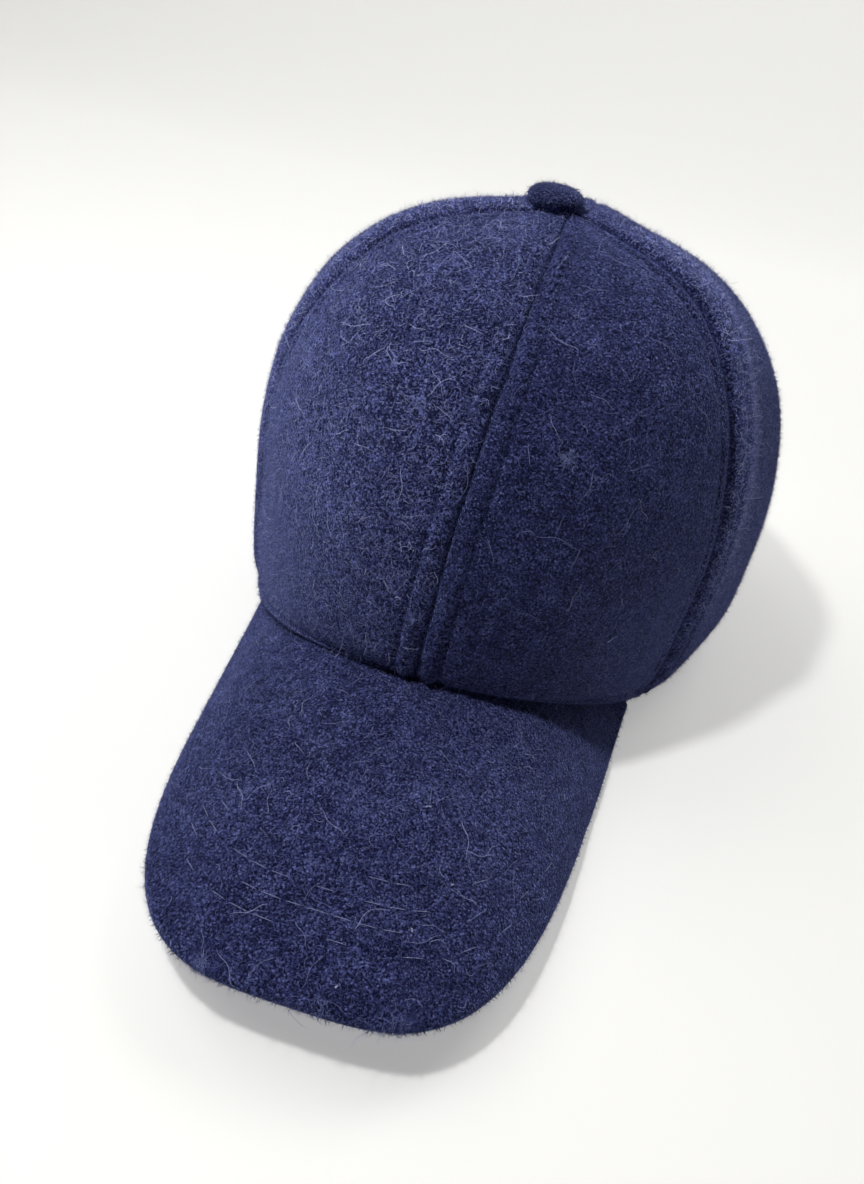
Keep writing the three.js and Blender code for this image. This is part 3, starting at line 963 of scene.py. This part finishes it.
def nap_tree(name, shapes):
    """A Geometry Nodes tree that covers a piece of cloth with hairs from a collection of shapes."""
    given = new_tree(name, NAP_INPUTS, "Nap")
    start = given["Cloth"]
    growth = start.node("GeometryNodeInputNamedAttribute", None, {"Name": "nap"}, "Attribute")
    density = given["Hairs per square metre"] * growth
    scatter = {"Mesh": start, "Density": density, "Seed": given["Seed"]}
    points = start.node("GeometryNodeDistributePointsOnFaces", None, scatter, "Points")
    choice = {"Collection": shapes, "Separate Children": True, "Reset Children": True}
    spin = start.node("ShaderNodeCombineXYZ", None, {"Z": random_value(start, "FLOAT", 0.0, 2 * math.pi, 1)})
    turn = {"Rotation": points.beside("Rotation"), "Rotate By": spin}
    planting = {
        "Points": points,
        "Instance": start.node("GeometryNodeCollectionInfo", None, choice),
        "Pick Instance": True,
        "Instance Index": random_value(start, "INT", 0, len(shapes.objects) - 1, 2),
        "Rotation": start.node("FunctionNodeRotateRotation", {"rotation_space": "LOCAL"}, turn),
        "Scale": random_value(start, "FLOAT", given["Smallest size"], given["Largest size"], 3),
    }
    planted = start.node("GeometryNodeInstanceOnPoints", None, planting)
    # Each hair's shade is scaled by the tone of the cloth under it, so the cloth's painted light and shade
    # carry into its hairs.
    tone = start.node("GeometryNodeInputNamedAttribute", None, {"Name": "tone"}, "Attribute")
    shade = random_value(start, "FLOAT", given["Darkest"], given["Palest"], 4) * tone
    shaded = start.node(
        "GeometryNodeStoreNamedAttribute",
        {"data_type": "FLOAT", "domain": "INSTANCE"},
        {"Geometry": planted, "Name": "shade", "Value": shade},
    )
    return end_tree(shaded, given["Hair"], given["Floor"])


def set_input(modifier, label, value):
    """Sets a modifier's input by its socket's identifier."""
    for item in modifier.node_group.interface.items_tree:
        if item.item_type == "SOCKET" and item.in_out == "INPUT" and item.name == label:
            modifier[item.identifier] = value


def grow(name, cloth, tree, inputs):
    """Runs a tree on a copy of a piece of cloth and returns the result as a plain mesh piece."""
    carrier = bpy.data.objects.new(name, cloth.data)
    bpy.context.scene.collection.objects.link(carrier)
    modifier = carrier.modifiers.new("grow", "NODES")
    modifier.node_group = tree
    for label, value in inputs.items():
        set_input(modifier, label, value)
    graph = bpy.context.evaluated_depsgraph_get()
    mesh = bpy.data.meshes.new_from_object(
        carrier.evaluated_get(graph), preserve_all_data_layers=True, depsgraph=graph
    )
    carrier.modifiers.clear()
    carrier.data = mesh
    mesh.name = name
    return carrier


short_nap = nap_tree("short_nap", SHORT_HAIRS)
stray_nap = nap_tree("stray_nap", STRAY_HAIRS)
fuzz_nap = nap_tree("fuzz_nap", FUZZ_HAIRS)
print("nap trees:", short_nap.name, stray_nap.name, fuzz_nap.name)

# %% Grow the nap
FRONT_STRAYS_PER_M2 = 4.0e4
SMALLEST_HAIR = 0.6
LARGEST_HAIR = 1.3
FLOOR_LIFT = 0.0002
LAYERS = {
    "nap": {"tree": short_nap, "per_m2": 4.0e6, "darkest": 0.0, "palest": 0.88, "seed": 100},
    "stray": {"tree": stray_nap, "per_m2": 2.0e4, "darkest": 0.66, "palest": 1.1, "seed": 200},
    "fuzz": {"tree": fuzz_nap, "per_m2": 4.5e5, "darkest": 0.3, "palest": 0.9, "seed": 300},
}
cloths = {**{f"gore_{name}": piece for name, piece in gores.items()}, "peak": peak, "button": button}
naps = {}
for number, (name, cloth) in enumerate(cloths.items()):
    naps[name] = []
    for layer, look in LAYERS.items():
        on_front = layer == "stray" and name.startswith("gore_front")
        inputs = {
            "Hairs per square metre": FRONT_STRAYS_PER_M2 if on_front else look["per_m2"],
            "Smallest size": SMALLEST_HAIR,
            "Largest size": LARGEST_HAIR,
            "Darkest": look["darkest"],
            "Palest": look["palest"],
            "Floor": FLOOR_LIFT,
            "Seed": look["seed"] + number,
            "Hair": hair,
        }
        naps[name].append(grow(f"{layer}_{name}", cloth, look["tree"], inputs))
triangles = {part.name: triangle_count(part) for parts in naps.values() for part in parts}
print("nap triangles:", triangles, "in all", sum(triangles.values()))

# %% [markdown]
# ## Stitching
# Thread holds the seam allowances down on both sides of each seam, runs round the hem, and shows on the peak
# as long pale dashes that half sink into the nap. A bevelled curve could be the thread, but a row is one
# small stitch repeated along a path, so Geometry Nodes sets stitches at an even pitch, turned along the row.

# %% Thread and stitch
NAVY_THREAD = (0.045, 0.053, 0.16, 1)
PALE_THREAD = (0.42, 0.47, 0.78, 1)


def thread_material(name, colour):
    """Spun thread: its colour is broken by the fine twist of its plies."""
    material, shader, start = new_material(name, 0.7, 0.2, SHEEN_BLUE, 0.4)
    place = start.node("ShaderNodeTexCoord", output="Object")
    twist = start.node("ShaderNodeTexNoise", None, {"Vector": place, "Scale": 2500.0, "Detail": 2.0})
    feed(((twist - 0.3) * 2.2).clamped().blend(scaled(colour, 0.45), colour), shader, "Base Color")
    return material


def stitch_shape(name, length, radius):
    """One stitch along X, in millimetres: a thin capsule whose ends dip into the cloth."""
    sides = 5
    along = np.array([-0.5, -0.28, 0.28, 0.5])
    thick = radius * np.array([0.4, 1, 1, 0.4])
    turn = np.linspace(0, 2 * math.pi, sides, endpoint=False)
    rings = []
    for share, reach in zip(along, thick):
        arch = radius * (1 - 8 * share**2)
        ring = [np.full(sides, share * length), reach * np.cos(turn), reach * np.sin(turn) + arch]
        rings.append(np.stack(ring, -1))
    faces = []
    for ring in range(len(along) - 1):
        for side in range(sides):
            a, b = ring * sides + side, ring * sides + (side + 1) % sides
            faces.append([a, a + sides, b + sides, b])
    faces.append(list(range(sides)))
    faces.append(list(range(sides * len(along) - 1, sides * (len(along) - 1) - 1, -1)))
    return bpy.data.objects.new(name, smooth_mesh(name, (np.concatenate(rings) * MM).tolist(), faces))


navy_thread = thread_material("navy_thread", NAVY_THREAD)
pale_thread = thread_material("pale_thread", PALE_THREAD)
seam_stitch = stitch_shape("seam_stitch", 2.3, 0.2)
peak_dash = stitch_shape("peak_dash", 5.2, 0.09)
print("stitch faces:", len(seam_stitch.data.polygons))


# %% Stitch tree
STITCH_INPUTS = {
    "Rows": "Geometry",
    "Pitch": "Float",
    "Showing": "Float",
    "Seed": "Int",
    "Thread": "Material",
}


def stitch_tree(name, stitch):
    """A Geometry Nodes tree that lays one stitch shape along rows of points, at an even pitch."""
    given = new_tree(name, STITCH_INPUTS, "Stitches")
    start = given["Rows"]
    path = {"Curve": start.node("GeometryNodeMeshToCurve", None, {"Mesh": start}), "Length": given["Pitch"]}
    points = start.node("GeometryNodeCurveToPoints", {"mode": "LENGTH"}, path, "Points")
    chance = {"Probability": given["Showing"], "Seed": given["Seed"]}
    longer = random_value(start, "FLOAT", 0.8, 1.15, given["Seed"])
    shape = {"Object": stitch, "As Instance": True}
    along = {"Vector": points.beside("Tangent")}
    laying = {
        "Points": points,
        "Selection": start.node("FunctionNodeRandomValue", {"data_type": "BOOLEAN"}, chance, 3),
        "Instance": start.node("GeometryNodeObjectInfo", None, shape, "Geometry"),
        "Rotation": start.node("FunctionNodeAlignRotationToVector", {"axis": "X"}, along),
        "Scale": start.node("ShaderNodeCombineXYZ", None, {"X": longer, "Y": 1.0, "Z": 1.0}),
    }
    return end_tree(start.node("GeometryNodeInstanceOnPoints", None, laying), given["Thread"])


def rows_carrier(name, rows):
    """Rows of points, in metres, as one mesh of edges."""
    points, edges = [], []
    for row in rows:
        first = len(points)
        points += row.tolist()
        edges += [(first + k, first + k + 1) for k in range(len(row) - 1)]
    mesh = bpy.data.meshes.new(name)
    mesh.from_pydata(points, edges, [])
    return bpy.data.objects.new(name, mesh)


seam_stitches = stitch_tree("seam_stitches", seam_stitch)
peak_dashes = stitch_tree("peak_dashes", peak_dash)
print("stitch trees:", seam_stitches.name, peak_dashes.name)

# %% Lay the crown's stitches
ROOM_FOR_STITCHES = 0.85
crown_rows = []
for number in range(len(GORES)):
    outer = in_frame(gore_surfaces(number)[0])
    wide_rows = gore_grid(number)[4][:, 0] >= ROOM_FOR_STITCHES
    for column in (SEAM_STITCH_COLUMN, -1 - SEAM_STITCH_COLUMN):
        crown_rows.append(outer[wide_rows, column][2:])
    crown_rows.append(outer[HEM_STITCH_ROW, 1:-1])
crown_stitches = grow(
    "crown_stitches",
    rows_carrier("crown_rows", crown_rows),
    seam_stitches,
    {"Pitch": STITCH_PITCH * MM, "Showing": 0.92, "Seed": 31, "Thread": navy_thread},
)
print("crown stitches, faces:", len(crown_stitches.data.polygons))

# %% Lay the peak's dashes
DASH_PITCH = 6.0
DASH_LIFT = 0.5
CLEAR_SIDES = (-0.36, 0.16)
FAINT_SIDES = (0.16, 0.6)


def peak_row(from_edge, first, last):
    """Points on the peak's upper face at one distance from its edge, between two sides, in metres."""
    side = even_sides(PEAK_COLUMNS)
    side = side[(side > first) & (side < last)]
    edge, root = peak_point(side, np.ones(len(side))), peak_point(side, np.zeros(len(side)))
    length = np.linalg.norm(edge - root, axis=-1)
    out = 1 - from_edge / length
    return in_frame(peak_point(side, out) + peak_normal(side, out) * DASH_LIFT)


dashes = []
for name, sides, showing, seed in (("clear", CLEAR_SIDES, 0.5, 41), ("faint", FAINT_SIDES, 0.1, 42)):
    rows = rows_carrier(f"peak_rows_{name}", [peak_row(row, *sides) for row in PEAK_STITCH_ROWS])
    inputs = {"Pitch": DASH_PITCH * MM, "Showing": showing, "Seed": seed, "Thread": pale_thread}
    dashes.append(grow(f"peak_dashes_{name}", rows, peak_dashes, inputs))
print("peak dashes, faces:", [len(piece.data.polygons) for piece in dashes])

# %% [markdown]
# ## Lint and loose fibres
# A few pale specks of lint and loose curls have caught on the nap. Each is placed by the pixel where it
# shows: a ray from the camera finds the cloth there, and the curl lies on it, turned to the cloth's normal.

# %% Loose fibres
IMAGE_WIDTH_PX = 864
FIBRE_COLUMNS = ("pixel_x", "pixel_y", "length", "width", "heading", "turn", "wave")
FIBRES = [
    (606, 641, 2.6, 0.60, 0.2, 0.8, 0.0),
    (388, 590, 5.0, 0.22, 0.3, 3.4, 0.9),
    (396, 597, 2.2, 0.40, 1.2, -2.6, 0.0),
    (563, 462, 3.6, 0.15, 0.4, 3.6, 0.0),
    (570, 455, 3.0, 0.16, 2.0, -3.2, 0.6),
    (574, 466, 2.6, 0.16, 3.4, 2.8, 0.0),
    (563, 800, 1.6, 0.45, 1.4, 1.0, 0.0),
    (425, 808, 1.8, 0.40, 0.6, -1.2, 0.0),
    (450, 885, 0.9, 0.55, 0.0, 0.4, 0.0),
    (411, 932, 1.2, 0.55, 0.8, 2.0, 0.0),
    (335, 988, 0.9, 0.55, 0.4, 0.6, 0.0),
    (645, 520, 9.0, 0.16, 1.2, 1.8, 0.8),
    (655, 560, 8.0, 0.16, 1.7, -0.9, 1.1),
    (565, 610, 10.0, 0.16, 0.4, 1.6, 0.7),
    (420, 350, 9.0, 0.15, -0.9, 1.2, 0.8),
    (500, 330, 9.0, 0.15, 2.4, -1.8, 0.5),
    (365, 455, 8.0, 0.15, 1.5, 0.6, 0.6),
    (355, 930, 11.0, 0.14, 0.9, -0.7, 0.4),
    (475, 905, 8.0, 0.14, 2.0, 1.4, 0.7),
    (300, 715, 8.0, 0.14, 0.5, 1.2, 0.9),
    (520, 735, 7.0, 0.14, 1.9, -1.5, 0.8),
]
FIBRE_LIFT = 0.7
TUFT_WAVE = 0.3
TUFT_COLUMNS = ("pixel_x", "pixel_y", "reach", "count")
TUFTS = [(203, 962, 8, 26), (320, 1012, 14, 20), (400, 1020, 16, 24), (568, 460, 9, 40)]


def tuft_rows(rows, seed):
    """Rows of short curls, scattered about each tuft's pixel."""
    rng = np.random.default_rng(seed)
    curls = []
    for row in rows:
        tuft = dict(zip(TUFT_COLUMNS, row))
        for _ in range(tuft["count"]):
            x = tuft["pixel_x"] + rng.normal() * tuft["reach"] / 2
            y = tuft["pixel_y"] + rng.normal() * tuft["reach"] / 3
            length, width = rng.uniform(1.6, 3.6), rng.uniform(0.1, 0.16)
            heading, turn = rng.uniform(0, 6.3), rng.uniform(-3, 3)
            curls.append((x, y, length, width, heading, turn, TUFT_WAVE))
    return curls


def pixel_ray(pixel_x, pixel_y):
    """The direction from the camera through a pixel of the photograph's frame."""
    right = (pixel_x - IMAGE_WIDTH_PX / 2) / FOCAL_PX
    up = (IMAGE_HEIGHT_PX / 2 - pixel_y) / FOCAL_PX
    return (camera_right * right + camera_up * up - camera_back).normalized()


def cloth_tree(pieces):
    """A search tree over the faces of several pieces."""
    points, faces = [], []
    for piece in pieces:
        first = len(points)
        points += [vertex.co.copy() for vertex in piece.data.vertices]
        faces += [[first + corner for corner in face.vertices] for face in piece.data.polygons]
    return BVHTree.FromPolygons(points, faces)


def loose_fibres(name, rows, material):
    """Every fibre of the table on the cloth under its pixel, in one mesh."""
    cloth = cloth_tree([*gores.values(), peak])
    points, faces = [], []
    for row in rows:
        fibre = dict(zip(FIBRE_COLUMNS, row))
        place, normal, _, _ = cloth.ray_cast(CAMERA_PLACE, pixel_ray(fibre["pixel_x"], fibre["pixel_y"]))
        if place is None:
            continue
        across = (camera_right - normal * camera_right.dot(normal)).normalized()
        along = normal.cross(across)
        start = across * math.cos(fibre["heading"]) + along * math.sin(fibre["heading"])
        aside = normal.cross(start)
        steps = 4 + int(fibre["length"] * 1.2)
        size = (fibre["length"], fibre["width"])
        ribbon, ribbon_faces = hair_ribbon(*size, 0.05, fibre["turn"], fibre["wave"], steps)
        first = len(points)
        for x, y, z in ribbon * MM:
            points.append(place + start * x + aside * y + normal * (z + FIBRE_LIFT * MM))
        faces += [[first + corner for corner in face] for face in ribbon_faces]
    return show(smooth_mesh(name, points, faces, material))


lint_thread = thread_material("lint", (0.50, 0.55, 0.85, 1))
lint = loose_fibres("lint", FIBRES, lint_thread)
tuft_wool = thread_material("tuft", (0.22, 0.26, 0.56, 1))
tufts = loose_fibres("tufts", tuft_rows(TUFTS, 61), tuft_wool)
print("loose fibres:", len(FIBRES), "and tufts of", len(tufts.data.polygons), "faces")

# %% [markdown]
# ## Floor and light
# The cap stands on a white sweep, as in a small photo tent. A small key lamp above the peak, on the wearer's
# right, draws the shadow. A broad softbox behind it lifts that side, a rim lamp lights the far shoulder, and
# the sweep itself glows a little, as white walls all round would make it.

# %% Stage
SWEEP_WIDTH = 4.0
SWEEP_FRONT = -2.0
SWEEP_BEND = 0.55
SWEEP_RADIUS = 0.35
SWEEP_TOP = 2.0
SWEEP_STEPS = 25
SWEEP_GLOW = 0.37


def sweep_piece():
    """The floor, bent up behind the cap into a wall."""
    line = [(SWEEP_FRONT, 0.0)]
    for turn in np.linspace(0, math.pi / 2, SWEEP_STEPS):
        line.append((SWEEP_BEND + SWEEP_RADIUS * math.sin(turn), SWEEP_RADIUS * (1 - math.cos(turn))))
    line.append((SWEEP_BEND + SWEEP_RADIUS, SWEEP_TOP))
    half = SWEEP_WIDTH / 2
    points = [(x, y, z) for y, z in line for x in (-half, half)]
    faces = [(2 * i, 2 * i + 1, 2 * i + 3, 2 * i + 2) for i in range(len(line) - 1)]
    material, shader, _ = new_material("white_sweep", 0.8)
    shader.inputs["Base Color"].default_value = (0.80, 0.80, 0.78, 1)
    shader.inputs["Emission Color"].default_value = (1.0, 0.99, 0.965, 1)
    shader.inputs["Emission Strength"].default_value = SWEEP_GLOW
    return show(smooth_mesh("sweep", points, faces, material))


floor = sweep_piece()
print("floor:", floor.name)


# %% Lamps
SKY_STRENGTH = 0.02
LAMPS = {
    "key": {"place": (-0.187, -0.117, 0.545), "target": (0, 0, 0.06), "size": 0.035, "power": 1.5},
    "softbox": {"place": (-0.65, 0.10, 0.85), "target": (0, 0, 0.05), "size": 0.7, "power": 3.2},
    "rim": {"place": (0.45, 0.75, 0.85), "target": (0, 0, 0.08), "size": 0.5, "power": 3.0},
}


def soft_lamp(name, place, target, size, power):
    """A square area lamp that faces a target."""
    data = bpy.data.lights.new(name, "AREA")
    data.size = size
    data.energy = power
    lamp = bpy.data.objects.new(name, data)
    lamp.location = place
    lamp.rotation_mode = "QUATERNION"
    lamp.rotation_quaternion = (Vector(target) - Vector(place)).to_track_quat("-Z", "Y")
    bpy.context.scene.collection.objects.link(lamp)


for name, lamp in LAMPS.items():
    soft_lamp(name, **lamp)
world = bpy.data.worlds.new("tent")
world.use_nodes = True
world.node_tree.nodes["Background"].inputs["Color"].default_value = (1.0, 0.99, 0.97, 1)
world.node_tree.nodes["Background"].inputs["Strength"].default_value = SKY_STRENGTH
bpy.context.scene.world = world
bpy.context.scene.view_settings.view_transform = "Standard"
print("lamps:", list(LAMPS))

# %% [markdown]
# ## The body and the solids
# Every piece rides on the one body, and the solid that it stands for is hidden. The gores are sheets of
# cloth, and the flat size of each is measured over its smooth surface: the widest row and the longest column.
# The peak and the button are padded pieces.


# %% Ride and replace
def gore_flat(number):
    """Width and length of the cloth that one gore takes, in metres, over its smooth surface."""
    surface = crown_point(*gore_grid(number)[:2]) * MM
    widest = np.linalg.norm(np.diff(surface, axis=1), axis=-1).sum(1).max()
    longest = np.linalg.norm(np.diff(surface, axis=0), axis=-1).sum(0).max()
    return round(float(widest), 3), round(float(longest), 3)


def hand_over(parts):
    """Pieces ride on the one body."""
    for part in parts:
        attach(part, "root")


for number, (name, piece) in enumerate(gores.items()):
    hairs = naps[f"gore_{name}"]
    hand_over([piece, *hairs])
    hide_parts(f"crown_panel_{name}")
    flat = gore_flat(number)
hand_over([peak, *naps["peak"], *dashes, tufts])
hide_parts("peak")
hand_over([button, *naps["button"]])
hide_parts("top_button")
hand_over([crown_stitches, lint])

# %% Count the triangles
pieces = [*gores.values(), peak, button, crown_stitches, lint, tufts, *dashes]
pieces += [part for parts in naps.values() for part in parts]
counts = [triangle_count(piece) for piece in pieces]
print("most triangles in a piece:", max(counts), "and in all:", sum(counts))
